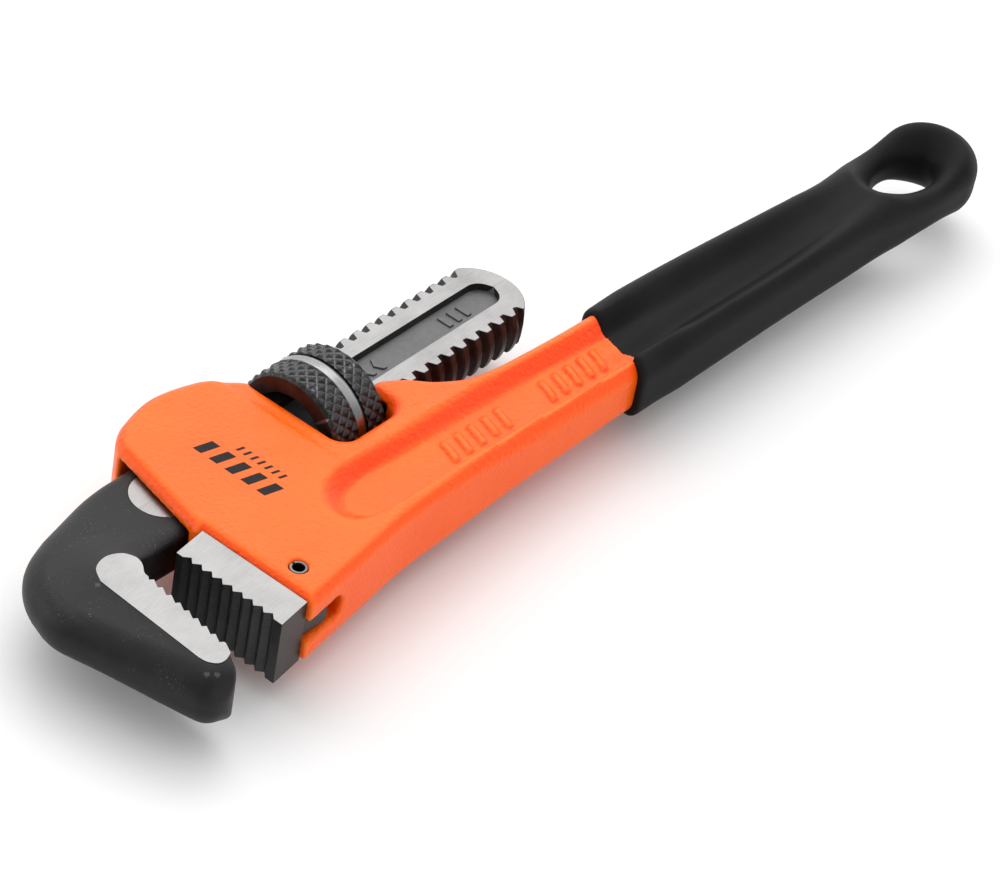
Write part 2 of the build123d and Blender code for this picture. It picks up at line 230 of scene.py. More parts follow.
def surface_net(grid, field):
    """Closed quad mesh round the negative part of a field sampled on a grid."""
    inside = field < 0
    nx, ny, nz = (n - 1 for n in field.shape)
    corners = [(i, j, k) for i in (0, 1) for j in (0, 1) for k in (0, 1)]
    count = sum(inside[i:i + nx, j:j + ny, k:k + nz].astype(np.int8) for i, j, k in corners)
    cells = np.argwhere((count > 0) & (count < 8))
    total = np.zeros((len(cells), 3))
    hits = np.zeros(len(cells))
    for axis in range(3):
        others = [a for a in range(3) if a != axis]
        for u in (0, 1):
            for v in (0, 1):
                base = np.zeros(3, int)
                base[others[0]], base[others[1]] = u, v
                tip = base.copy()
                tip[axis] = 1
                fa = field[tuple((cells + base).T)]
                fb = field[tuple((cells + tip).T)]
                cut = (fa < 0) != (fb < 0)
                t = np.where(cut, fa / np.where(cut, fa - fb, 1), 0)
                step = np.tile(base, (len(cells), 1)).astype(float)
                step[:, axis] += t
                total[cut] += step[cut]
                hits[cut] += 1
    vertices = grid.low + (cells + total / hits[:, None]) * grid.step
    index = np.full((nx, ny, nz), -1)
    index[tuple(cells.T)] = np.arange(len(cells))
    faces = []
    for axis in range(3):
        u, v = (axis + 1) % 3, (axis + 2) % 3
        here = np.take(inside, range(field.shape[axis] - 1), axis)
        there = np.take(inside, range(1, field.shape[axis]), axis)
        edges = np.argwhere(here != there)
        edges = edges[(edges[:, u] > 0) & (edges[:, v] > 0)]
        edges = edges[(edges[:, u] < (nx, ny, nz)[u]) & (edges[:, v] < (nx, ny, nz)[v])]
        ring = []
        for du, dv in ((0, 0), (-1, 0), (-1, -1), (0, -1)):
            cell = edges.copy()
            cell[:, u] += du
            cell[:, v] += dv
            ring.append(index[tuple(cell.T)])
        ring = np.stack(ring, 1)
        flip = ~inside[tuple(edges.T)]
        ring[flip] = ring[flip][:, ::-1]
        faces.append(ring)
    return vertices, np.concatenate(faces)


# ---- object tools ---------------------------------------------------------------------------
def add_object(name, vertices, faces, materials, smooth=True):
    """Mesh object from points in wrench millimetres."""
    mesh = bpy.data.meshes.new(name)
    points = np.array(vertices, float) * MM + np.array(ORIGIN)
    mesh.from_pydata(points.tolist(), [], [list(map(int, f)) for f in faces])
    mesh.validate()
    mesh.polygons.foreach_set("use_smooth", [smooth] * len(mesh.polygons))
    obj = bpy.data.objects.new(name, mesh)
    bpy.context.scene.collection.objects.link(obj)
    for material in materials:
        mesh.materials.append(material)
    return obj


def prism(name, outline, low, high, materials, bevel=0.0, side_slot=0):
    """Straight extrusion of an outline, its long edges bevelled; the walls take their own slot."""
    n = len(outline)
    vertices = [(x, y, low) for x, y in outline] + [(x, y, high) for x, y in outline]
    walls = [(i, (i + 1) % n, n + (i + 1) % n, n + i) for i in range(n)]
    area = sum(a[0] * b[1] - b[0] * a[1] for a, b in zip(outline, outline[1:] + outline[:1]))
    caps = [tuple(range(n))[::-1], tuple(range(n, 2 * n))]
    faces = walls + caps
    if area < 0:
        faces = [face[::-1] for face in faces]
    obj = add_object(name, vertices, faces, materials, smooth=False)
    for face in obj.data.polygons:
        face.material_index = side_slot if abs(face.normal.z) < 0.5 else 0
    if bevel:
        modifier = obj.modifiers.new("bevel", "BEVEL")
        modifier.width = bevel * MM
        modifier.segments = 2
        modifier.limit_method = "ANGLE"
        modifier.angle_limit = math.radians(35)
        modifier.harden_normals = True
    return obj


def lattice(rows, closed_rows=True):
    """Faces of a grid of vertices: rows of equal length, each row closed on itself."""
    count, width = rows
    faces = []
    for i in range(count - 1):
        for j in range(width if closed_rows else width - 1):
            k = (j + 1) % width
            faces.append((i * width + j, (i + 1) * width + j, (i + 1) * width + k, i * width + k))
    return faces


# ---- materials -------------------------------------------------------------------------------
def new_material(name):
    """Empty node material with its shader and a helper that adds linked nodes."""
    material = bpy.data.materials.new(name)
    material.use_nodes = True
    nodes, links = material.node_tree.nodes, material.node_tree.links
    shader = nodes["Principled BSDF"]

    def node(kind, inputs=(), **settings):
        item = nodes.new("ShaderNode" + kind)
        for key, value in settings.items():
            setattr(item, key, value)
        for key, value in dict(inputs).items():
            if isinstance(value, bpy.types.NodeSocket):
                links.new(value, item.inputs[key])
            else:
                item.inputs[key].default_value = value
        return item

    return material, shader, node, links


def ramp(node, source, stops):
    """Colour ramp through (position, grey or colour) stops."""
    item = node("ValToRGB", {"Fac": source})
    elements = item.color_ramp.elements
    while len(elements) < len(stops):
        elements.new(0.5)
    for element, (position, value) in zip(elements, stops):
        element.position = position
        colour = value if isinstance(value, tuple) else (value, value, value)
        element.color = (*colour, 1)
    return item.outputs["Color"]


def mix_colour(node, factor, a, b, blend="MIX"):
    """Mix of two colours."""
    return node("Mix", {0: factor, 6: a, 7: b}, data_type="RGBA", blend_type=blend).outputs[2]


def rgba(r, g, b):
    """Opaque colour."""
    return (r, g, b, 1.0)


def object_coords(node):
    """Coordinates in metres that stay with the piece."""
    return node("TexCoord").outputs["Object"]


def orange_enamel():
    """Glossy orange enamel on a sand casting: orange peel, pinholes, thin edges, painted shade on slopes.
    """
    material, shader, node, links = new_material("orange_enamel")
    where = object_coords(node)
    cloud = node("TexNoise", {"Vector": where, "Scale": 45.0, "Detail": 4.0, "Roughness": 0.6})
    peel = node("TexNoise", {"Vector": where, "Scale": 900.0, "Detail": 3.0, "Roughness": 0.55})
    sand = node("TexNoise", {"Vector": where, "Scale": 2400.0, "Detail": 2.0, "Roughness": 0.6})
    pits = node("TexVoronoi", {"Vector": where, "Scale": 260.0, "Randomness": 1.0})
    pit = ramp(node, pits.outputs["Distance"], [(0.0, 1.0), (0.07, 0.0)])
    rare = ramp(node, cloud.outputs["Fac"], [(0.55, 0.0), (0.62, 1.0)])
    edge = ramp(node, node("NewGeometry").outputs["Pointiness"], [(0.5, 0.0), (0.56, 1.0)])
    level = ramp(node, cloud.outputs["Fac"], [(0.3, (0.97, 0.122, 0.001)), (0.7, (1.0, 0.148, 0.002))])
    # Painted shade: faces that tilt away from flat, found from the surface normal, are mixed towards a
    # deeper orange.
    facing = node("SeparateXYZ", {"Vector": node("TexCoord").outputs["Normal"]})
    flat = node("Math", {0: facing.outputs["Z"]}, operation="ABSOLUTE").outputs[0]
    slope = ramp(node, flat, [(0.1, 0.3), (0.8, 1.0), (0.985, 0.0)])
    tone = mix_colour(node, slope, level, rgba(1.0, 0.064, 0.0))
    thin = mix_colour(node, edge, tone, rgba(1.0, 0.16, 0.005))
    pit_mask = node("Math", {0: pit, 1: rare}, operation="MULTIPLY").outputs[0]
    colour = mix_colour(node, pit_mask, thin, rgba(1.0, 0.3, 0.06))
    links.new(colour, shader.inputs["Base Color"])
    rough = node("MapRange", {"Value": peel.outputs["Fac"], "To Min": 0.26, "To Max": 0.42})
    links.new(rough.outputs["Result"], shader.inputs["Roughness"])
    fine = node("Bump", {"Height": sand.outputs["Fac"], "Strength": 0.12, "Distance": 0.0002})
    broad = node("Bump", {"Height": peel.outputs["Fac"], "Strength": 0.8, "Distance": 0.00045,
                          "Normal": fine.outputs["Normal"]})
    hole = node("Bump", {"Height": pit_mask, "Strength": 0.5, "Distance": 0.0002,
                         "Normal": broad.outputs["Normal"]})
    links.new(hole.outputs["Normal"], shader.inputs["Normal"])
    shader.inputs["Specular IOR Level"].default_value = 0.22
    shader.inputs["Coat Weight"].default_value = 0.04
    shader.inputs["Coat Roughness"].default_value = 0.18
    return material


def black_dip():
    """Soft satin vinyl of the dipped grip: faint mottling, sparse dust and fine pores."""
    material, shader, node, links = new_material("black_dip")
    where = object_coords(node)
    mottle = node("TexNoise", {"Vector": where, "Scale": 60.0, "Detail": 5.0, "Roughness": 0.65})
    pores = node("TexNoise", {"Vector": where, "Scale": 1300.0, "Detail": 2.0, "Roughness": 0.6})
    dust = node("TexVoronoi", {"Vector": where, "Scale": 330.0, "Randomness": 1.0})
    speck = ramp(node, dust.outputs["Distance"], [(0.0, 1.0), (0.06, 0.0)])
    few = ramp(node, mottle.outputs["Fac"], [(0.52, 0.0), (0.6, 1.0)])
    mask = node("Math", {0: speck, 1: few}, operation="MULTIPLY").outputs[0]
    base = ramp(node, mottle.outputs["Fac"],
                [(0.3, (0.006, 0.006, 0.0062)), (0.7, (0.011, 0.011, 0.0113))])
    colour = mix_colour(node, mask, base, rgba(0.06, 0.06, 0.06))
    links.new(colour, shader.inputs["Base Color"])
    rough = node("MapRange", {"Value": mottle.outputs["Fac"], "To Min": 0.46, "To Max": 0.6})
    links.new(rough.outputs["Result"], shader.inputs["Roughness"])
    bump = node("Bump", {"Height": pores.outputs["Fac"], "Strength": 0.18, "Distance": 0.00015})
    soft = node("Bump", {"Height": mottle.outputs["Fac"], "Strength": 0.12, "Distance": 0.0008,
                         "Normal": bump.outputs["Normal"]})
    links.new(soft.outputs["Normal"], shader.inputs["Normal"])
    shader.inputs["Specular IOR Level"].default_value = 0.086
    return material


def forged_black():
    """Black painted drop forging: fine pebbled skin with pale specks and edges rubbed a little bare."""
    material, shader, node, links = new_material("forged_black")
    where = object_coords(node)
    skin = node("TexNoise", {"Vector": where, "Scale": 900.0, "Detail": 4.0, "Roughness": 0.65})
    broad = node("TexNoise", {"Vector": where, "Scale": 90.0, "Detail": 4.0, "Roughness": 0.6})
    speck = node("TexNoise", {"Vector": where, "Scale": 2400.0, "Detail": 1.0})
    spot = ramp(node, speck.outputs["Fac"], [(0.68, 0.0), (0.74, 1.0)])
    few = ramp(node, broad.outputs["Fac"], [(0.5, 0.0), (0.62, 1.0)])
    mask = node("Math", {0: spot, 1: few}, operation="MULTIPLY").outputs[0]
    edge = ramp(node, node("NewGeometry").outputs["Pointiness"], [(0.52, 0.0), (0.6, 1.0)])
    base = ramp(node, broad.outputs["Fac"],
                [(0.3, (0.008, 0.008, 0.0083)), (0.7, (0.016, 0.016, 0.0166))])
    spotted = mix_colour(node, mask, base, rgba(0.09, 0.09, 0.09))
    rubbed = node("Math", {0: edge, 1: 0.35}, operation="MULTIPLY").outputs[0]
    colour = mix_colour(node, rubbed, spotted, rgba(0.16, 0.16, 0.165))
    links.new(colour, shader.inputs["Base Color"])
    rough = node("MapRange", {"Value": broad.outputs["Fac"], "To Min": 0.4, "To Max": 0.58})
    links.new(rough.outputs["Result"], shader.inputs["Roughness"])
    shader.inputs["Metallic"].default_value = 0.1
    shader.inputs["Specular IOR Level"].default_value = 0.25
    fine = node("Bump", {"Height": skin.outputs["Fac"], "Strength": 0.3, "Distance": 0.0002})
    dent = node("Bump", {"Height": broad.outputs["Fac"], "Strength": 0.25, "Distance": 0.0007,
                         "Normal": fine.outputs["Normal"]})
    links.new(dent.outputs["Normal"], shader.inputs["Normal"])
    return material


def brushed(name, tones, stretch, roughness, metallic=1.0):
    """Ground or machined steel: fine lines along one direction, light smudges."""
    material, shader, node, links = new_material(name)
    where = object_coords(node)
    along = node("Mapping", {"Vector": where, "Scale": stretch[0], "Rotation": (0, 0, stretch[1])})
    lines = node("TexNoise", {"Vector": along.outputs["Vector"], "Scale": 1.0, "Detail": 5.0,
                              "Roughness": 0.7})
    smudge = node("TexNoise", {"Vector": where, "Scale": 120.0, "Detail": 4.0})
    blend = node("Math", {0: lines.outputs["Fac"], 1: smudge.outputs["Fac"]}, operation="ADD")
    base = ramp(node, node("Math", {0: blend.outputs[0], 1: 0.5}, operation="MULTIPLY").outputs[0],
                [(0.34, tones[0]), (0.62, tones[1])])
    links.new(base, shader.inputs["Base Color"])
    rough = node("MapRange", {"Value": blend.outputs[0], "From Min": 0.7, "From Max": 1.3,
                              "To Min": roughness[0], "To Max": roughness[1]})
    links.new(rough.outputs["Result"], shader.inputs["Roughness"])
    shader.inputs["Metallic"].default_value = metallic
    bump = node("Bump", {"Height": lines.outputs["Fac"], "Strength": 0.25, "Distance": 0.0001})
    links.new(bump.outputs["Normal"], shader.inputs["Normal"])
    return material


def black_oxide():
    """Black oxide on the knurled nut, polished on the raised points."""
    material, shader, node, links = new_material("black_oxide")
    where = object_coords(node)
    film = node("TexNoise", {"Vector": where, "Scale": 300.0, "Detail": 4.0, "Roughness": 0.6})
    edge = ramp(node, node("NewGeometry").outputs["Pointiness"], [(0.5, 0.0), (0.62, 1.0)])
    base = ramp(node, film.outputs["Fac"], [(0.3, (0.022, 0.022, 0.0226)), (0.7, (0.052, 0.052, 0.054))])
    worn = node("Math", {0: edge, 1: 0.55}, operation="MULTIPLY").outputs[0]
    colour = mix_colour(node, worn, base, rgba(0.3, 0.3, 0.31))
    links.new(colour, shader.inputs["Base Color"])
    rough = node("MapRange", {"Value": film.outputs["Fac"], "To Min": 0.24, "To Max": 0.42})
    links.new(rough.outputs["Result"], shader.inputs["Roughness"])
    shader.inputs["Metallic"].default_value = 0.85
    bump = node("Bump", {"Height": film.outputs["Fac"], "Strength": 0.12, "Distance": 0.0001})
    links.new(bump.outputs["Normal"], shader.inputs["Normal"])
    return material


def black_ink():
    """Printed mark: slightly worn matt ink."""
    material, shader, node, links = new_material("black_ink")
    wear = node("TexNoise", {"Vector": object_coords(node), "Scale": 900.0, "Detail": 3.0})
    tone = ramp(node, wear.outputs["Fac"], [(0.3, 0.008), (0.75, 0.02)])
    links.new(tone, shader.inputs["Base Color"])
    rough = node("MapRange", {"Value": wear.outputs["Fac"], "To Min": 0.6, "To Max": 0.8})
    shader.inputs["Specular IOR Level"].default_value = 0.2
    links.new(rough.outputs["Result"], shader.inputs["Roughness"])
    return material


def floor_paper():
    """Pale studio sweep."""
    material, shader, node, links = new_material("floor_paper")
    cloud = node("TexNoise", {"Vector": object_coords(node), "Scale": 6.0, "Detail": 3.0})
    tone = ramp(node, cloud.outputs["Fac"], [(0.3, 0.86), (0.7, 0.88)])
    links.new(tone, shader.inputs["Base Color"])
    shader.inputs["Roughness"].default_value = 0.9
    shader.inputs["Specular IOR Level"].default_value = 0.1
    return material


ENAMEL = orange_enamel()
DIP = black_dip()
FORGED = forged_black()
OXIDE = black_oxide()
INK = black_ink()
GROUND = brushed("ground_steel", ((0.2, 0.197, 0.195), (0.32, 0.315, 0.312)), ((300, 6000, 6000), 0.35),
                 (0.3, 0.46))
SPRING = brushed("spring_steel", ((0.07, 0.07, 0.07), (0.17, 0.17, 0.167)), ((2500, 2500, 900), 0.0),
                 (0.25, 0.4))
# Painted shade: near-black steel for the walls of the pad, heel block and tongue, standing in for the
# shadow between the teeth.
SHADED_STEEL = brushed("steel_painted_shade", ((0.02, 0.02, 0.021), (0.055, 0.055, 0.056)), ((400, 400, 5000), 0.0),
                     (0.3, 0.5), 0.7)
BAND = brushed("band_steel", ((0.16, 0.16, 0.163), (0.3, 0.3, 0.305)), ((5000, 300, 300), 0.0),
               (0.2, 0.32))
RECESS = brushed("shank_recess", ((0.075, 0.075, 0.077), (0.14, 0.14, 0.142)), ((900, 900, 900), 0.0),
                 (0.42, 0.6), 0.4)
# Near-black steel for the threaded edges; the shank recess walls take it too, as painted shade.
THREAD_AND_WALL_SHADE = brushed("thread_steel_and_wall_shade", ((0.012, 0.012, 0.012), (0.04, 0.04, 0.04)), ((900, 900, 900), 0.0),
                 (0.3, 0.5), 0.6)


# ---- handle and housing ---------------------------------------------------------------------
def half_thickness(x):
    """Half thickness of the bare handle along the tool."""
    return HALF_T - HANDLE_TAPER * np.clip(TAPER_FROM_X - x, 0, None)


def housing_outline():
    """Plan of the housing, nut window and the bare stretch of handle."""
    front = rounded([(1.3, 14.4), (-5.4, -13.4)], [0, 0])
    arch = curve([(-5.4, -13.4), (-8.2, -16.6), (-12.9, -18.9), (-22.6, -20.7), (-33.6, -18.2),
                  (-39.2, -14.3), (WINDOW_FRONT - 0.4, -11.2)])
    window = rounded([(WINDOW_FRONT, -9.4), (WINDOW_FRONT, WINDOW_FLOOR), (WINDOW_REAR, WINDOW_FLOOR),
                      (WINDOW_REAR, 4.9), (-64.2, 6.3)], [0, 3.6, 3.6, 2.4, 0])
    ledge = curve([(-64.2, 6.3), (-68.4, 9.3), (-73.4, 14.3), (-82.0, 18.4), (-99.7, 20.3),
                   (-128.0, 21.4)])
    mouth = curve([(-128.0, 39.6), (-112.0, 39.8), (-75.0, 39.1), (-40.0, 39.0), (-18.0, 41.3),
                   (0.0, 43.5)])
    return front[:1] + arch + window + ledge + mouth + [(0.0, 14.4)]


def recess_outlines():
    """Rim and floor outlines of the long recess of the I-section."""
    rim_low = curve([(-260.0, 33.0), (-196.0, 27.6), (-113.0, 22.6), (-80.0, 20.0), (-58.0, 19.0),
                     (-36.0, 18.6)])
    rim_nose = curve([(-36.0, 18.6), (-27.6, 20.6), (-22.6, 25.0), (-22.0, 30.0), (-25.0, 34.0),
                      (-32.0, 35.3)])
    rim_high = [(-60.0, 36.0), (-113.0, 37.4), (-196.0, 40.0), (-260.0, 42.0)]
    floor_low = curve([(-260.0, 36.0), (-196.0, 31.6), (-113.0, 27.6), (-80.0, 26.0), (-56.0, 25.2),
                       (-40.0, 23.8)])
    floor_nose = curve([(-40.0, 23.8), (-33.6, 24.7), (-30.4, 27.4), (-30.3, 31.0), (-33.4, 33.6),
                        (-38.0, 34.2)])
    floor_high = [(-60.0, 34.9), (-113.0, 35.9), (-196.0, 38.4), (-260.0, 40.5)]
    return rim_low[:-1] + rim_nose + rim_high, floor_low[:-1] + floor_nose + floor_high


def recess_share(grid):
    """0 outside the recess, 1 on its floor, and a soft slope between the two outlines."""
    rim, floor = recess_outlines()
    from_rim = np.clip(-grid.plan(rim), 0, None)
    from_floor = np.clip(grid.plan(floor), 0, None)
    return smoothstep(from_rim / (from_rim + from_floor + 1e-6))


def relief_bars(grid):
    """Two groups of slanted raised bars on the floor of the recess."""
    share = np.zeros(grid.plan_x.shape)
    lean = 0.35
    for start, count in ((-76.0, 5), (-108.0, 5)):
        for i in range(count):
            centre = start + i * 4.3
            across = np.abs(grid.plan_x - centre - lean * (grid.plan_y - 29.8)) - 0.9
            along = np.abs(grid.plan_y - 29.8 - 0.02 * (-60 - grid.plan_x)) - 2.9
            share = np.maximum(share, smoothstep(0.5 - np.maximum(across, along) / 0.9))
    return share[:, :, None]


def housing_cast():
    """Housing and handle casting as one soft-edged enamelled skin."""
    step = 0.55
    grid = Grid((-129.0, -23.0, -10.0), (4.0, 47.0, 10.0), step)
    plan = grid.plan(housing_outline())
    depth = HANDLE_RECESS * recess_share(grid) - RELIEF_HEIGHT * relief_bars(grid)
    round_window = smoothstep((-35.6 - grid.x) / 2.4) * smoothstep((22.0 - grid.y) / 4.5)
    depth = depth + WINDOW_STEP * round_window
    lower_flange = np.clip(-62 - grid.x, 0, None) * 0.016 * smoothstep((grid.y - 30) / 5)
    radius = 2.7 + 1.8 * smoothstep((-45.0 - grid.x) / 30.0) * smoothstep((grid.y - 29.0) / 4.0)
    body = plate(plan, grid.z, half_thickness(grid.x) - depth - lower_flange, radius)
    half = PASSAGE_HALF
    cuts = [
        box_field(grid, (WINDOW_FRONT - 2, PASSAGE_LOW, -half), (8, PASSAGE_HIGH, half)),
        box_field(grid, (-94, -6, -half), (WINDOW_REAR + 2, PASSAGE_HIGH, half)),
        tail_slot_field(grid),
    ]
    for cut in cuts:
        body = smooth_max(body, -cut, 0.9)
    pin = np.sqrt((grid.x - PIN_XY[0]) ** 2 + (grid.y - PIN_XY[1]) ** 2) - PIN_R - 0.15
    body = smooth_max(body, -pin, 0.5)
    end = -(grid.x - PAINT_END)
    body = np.maximum(body, end)
    vertices, faces = surface_net(grid, body)
    piece = add_object("housing_cast", vertices, faces, [ENAMEL])
    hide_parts("handle_housing")
    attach(piece, "frame")
    return piece


def tail_slot_field(grid):
    """Slot for the tongue of the heel jaw, round at its inner end."""
    half = 2.9
    centre = -12.2 + half
    ahead = np.clip(centre - grid.x, 0, None)
    width = np.sqrt(ahead ** 2 + grid.z ** 2) - half
    return np.maximum(width, 19.5 - grid.y)


# ---- grip -----------------------------------------------------------------------------------
def grip_outline():
    """Plan of the dipped grip with its ring end."""
    low = curve([(-104.0, 18.2), (-140.6, 19.8), (-175.0, 22.4), (-188.0, 23.4), (-198.0, 23.8),
                 (-214.7, 22.7), (RING[0], RING[1] - RING_R)])
    ring = arc(RING, RING_R, -90, -270, 40)
    high = curve([(RING[0], RING[1] + RING_R), (-218.5, 45.7), (-204.0, 44.2), (-188.8, 43.3),
                  (-150.8, 42.4), (-104.0, 41.6)])
    return low[:-1] + ring + high[1:]


def hang_hole_outline():
    """Oval hanging hole, a little narrower towards the handle."""
    turns = np.linspace(0, 2 * math.pi, 56, endpoint=False)
    points = []
    for t in turns:
        half_width = HOLE_HALF_WIDTH - 0.8 * math.cos(t)
        points.append((HOLE_CENTRE[0] + HOLE_HALF_LENGTH * math.cos(t),
                       HOLE_CENTRE[1] + half_width * math.sin(t)))
    return points


def grip_dip():
    """Dipped skin: the I-section shows through it, softens behind the front edge and fades to the ring."""
    grid = Grid((-247.0, 15.0, -11.5), (-102.0, 49.0, 11.5), 0.6)
    fade = smoothstep((grid.x + 218.0) / 62.0)
    hole = grid.plan(hang_hole_outline())
    dish = 3.6 * smoothstep(1 - hole / 8.0) - 0.5 * smoothstep((-198.0 - grid.x) / 22.0)
    share = recess_share(grid)
    softened = sum(np.roll(share, k, axis=1) for k in range(-3, 4)) / 7
    share = share + (softened - share) * smoothstep((-119.0 - grid.x) / 16.0)
    depth = (GRIP_RECESS * share + 0.9 * smoothstep((grid.y - 30) / 5)) * fade + dish
    skin = GRIP_SKIN * (0.6 + 0.4 * smoothstep((-116.0 - grid.x) / 12.0))
    radius = 5.2 + 1.9 * smoothstep((-185.0 - grid.x) / 30.0)
    body = plate(grid.plan(grip_outline()), grid.z, half_thickness(grid.x) + skin - depth, radius)
    body = smooth_max(body, -hole * np.ones_like(body), 5.0)
    edge = (grid.x - GRIP_START) - (grid.y - 18.5) * 0.31
    body = smooth_max(body, edge * 0.95, 1.2)
    vertices, faces = surface_net(grid, body)
    piece = add_object("grip_dip", vertices, faces, [DIP])
    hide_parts("handle_grip")
    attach(piece, "frame")
    return piece


# ---- hook jaw ---------------------------------------------------------------------------------
def hook_outline():
    """Plan of the forged neck and hook."""
    points = [(-14.0, -10.75), (9.5, -10.8), (21.9, -7.9), (33.6, -3.7), (38.5, 10.4), (31.2, 44.6),
              (24.6, 48.6), (20.4, 39.7), (17.6, 17.2), (15.4, 11.4), (9.5, 10.75), (-14.0, 10.75)]
    return rounded(points, [0, 30, 20, 18, 13, 5.2, 4.9, 0.5, 1.5, 4.5, 8, 0], 16)


def ground_half_width(x):
    """Half width of the ground flat of the shank where it runs out into the black neck."""
    back = np.clip(CRESCENT_X - x, 0, None)
    front = np.clip(x - CRESCENT_X, 0, CRESCENT_R)
    return np.sqrt(CRESCENT_R ** 2 - front ** 2) + 3.4 * (back / 6.0) ** 2


def hook_forging():
    """Drop-forged hook and neck, behind the crisp ground pad."""
    grid = Grid((-11.0, -12.0, -7.4), (43.0, 50.0, 7.4), 0.42)
    plan = grid.plan(hook_outline())
    across = (grid.x - TEETH_FOOT[0]) * TOOTH_NORMAL[0] + (grid.y - TEETH_FOOT[1]) * TOOTH_NORMAL[1]
    by_teeth = smoothstep((6.5 - across) / 5.0) * smoothstep((grid.y - 7.0) / 6.0)
    on_neck = smoothstep((13.0 - grid.x) / 12.0)
    from_pad = np.clip(grid.plan(pad_back() + [TEETH_TOP, TEETH_FOOT]) / 8.5, 0, 1)
    crown = PAD_HALF - 0.12 - 1.75 * from_pad ** 0.85
    half = crown + (SHANK_HALF + 0.12 - crown) * on_neck
    radius = (5.2 - 2.2 * on_neck) * (1 - by_teeth) + 1.3 * by_teeth
    body = plate(plan, grid.z, half, radius)
    beside = np.abs(grid.y - 29.0) - 11.8
    body = smooth_max(body, np.minimum(TOOTH_DEPTH + 0.25 - across, -beside), 0.3)
    ground = np.where(grid.x > CRESCENT_X, CRESCENT_R - np.sqrt((grid.x - CRESCENT_X) ** 2 + grid.y ** 2),
                      (ground_half_width(grid.x) - np.abs(grid.y)) * 0.7)
    body = smooth_max(body, np.minimum(ground, np.abs(grid.z) - 4.6), 0.25)
    body = np.maximum(body, -grid.x - 10.4)
    vertices, faces = surface_net(grid, body)
    return add_object("hook_forging", vertices, faces, [FORGED])


def saw_teeth(start, end, count, depth, long_flank):
    """Outline down a row of saw teeth, from the last crest at the end to the first root."""
    a, b = np.array(start), np.array(end)
    length = np.linalg.norm(b - a)
    along = (b - a) / length
    inward = np.array([along[1], -along[0]])
    pitch = length / (count - 0.62)
    points = [tuple(b)]
    for i in reversed(range(count)):
        root = a + along * i * pitch
        points.append(tuple(root + along * 0.5))
        points.append(tuple(root + inward * depth))
        if i:
            points.append(tuple(root - along * long_flank))
    return points


def pad_back():
    """Plan of the ground pad from its throat round to the end of the tooth row."""
    throat = curve([(17.35, 16.4), (17.1, 15.1), (15.9, 13.6), (15.2, 12.2), (15.1, 10.6), (16.4, 8.2),
                    (19.6, 6.9), (23.2, 8.0), (25.3, 11.2)], 6)
    end = curve([(26.9, 38.4), (26.6, 40.2), (25.4, 41.9), (23.6, 42.3), (21.4, 41.6)], 6)
    return throat + end


def hook_pad():
    """Ground pad with the tooth row of the hook, on both sides of the forging."""
    teeth = saw_teeth(TEETH_FOOT, TEETH_TOP, HOOK_TEETH, TOOTH_DEPTH, 2.1)
    # The tooth walls take the painted-shade steel, for the shadow between the teeth.
    return prism("hook_pad", pad_back() + teeth, -PAD_HALF, PAD_HALF, [GROUND, SHADED_STEEL], 0.1, 1)


def thread_radius(x, angle, shift):
    """Radius of the threaded edge of the shank at a station and an angle from the edge's middle."""
    turns = (x - VALLEY_X) / PITCH - shift - angle / (2 * math.pi)
    nearest = np.round(turns)
    distance = np.abs(turns - nearest) * PITCH
    radius = np.clip(SHANK_MINOR_R + (distance - 0.62) / 0.47, SHANK_MINOR_R, SHANK_MAJOR_R)
    return np.where((nearest >= -14) & (nearest <= 5), radius, SHANK_MAJOR_R)


def edge_points(x, heights, side):
    """Points down one rounded, threaded edge of the shank; side is +1 at the mouth."""
    y = np.sqrt(SHANK_MAJOR_R ** 2 - heights ** 2)
    for _ in range(6):
        angle = np.arctan2(heights, y)
        radius = thread_radius(x, angle, 0.0) if side > 0 else thread_radius(x, -angle, 0.5)
        y = np.sqrt(radius ** 2 - heights ** 2)
    if x > -10.0:
        y = np.minimum(y, float(ground_half_width(x)) + 0.25)
    if x < SHANK_END + 10.2:
        swell = 1 - ((x - SHANK_END - 10.2) / 10.2) ** 2
        y = np.minimum(y, 11.2 * math.sqrt(max(swell, 0.0)) * (1 - 0.05 * (heights / SHANK_HALF) ** 2))
    return side * y


def shank_stations():
    """Stations along the shank, closer together round its end and the ends of its recess."""
    tail = SHANK_END + 10.2 * (1 - np.cos(np.linspace(0.06, math.pi / 2, 26)))
    body = np.arange(SHANK_END + 10.3, -23.0, 0.17)
    plain = np.concatenate([np.arange(-23.0, -4.5, 0.8), CRESCENT_X + CRESCENT_R * np.sin(
        np.linspace(0, math.pi / 2, 20))])
    return np.concatenate([tail, body, plain])


def recess_half_width(x):
    """Half width of the recess in the flat of the shank."""
    beyond = max(SLOT_LOW + 4 - x, x - SLOT_HIGH + 4, 0.0)
    return math.sqrt(max(16.0 - beyond * beyond, 0.0))


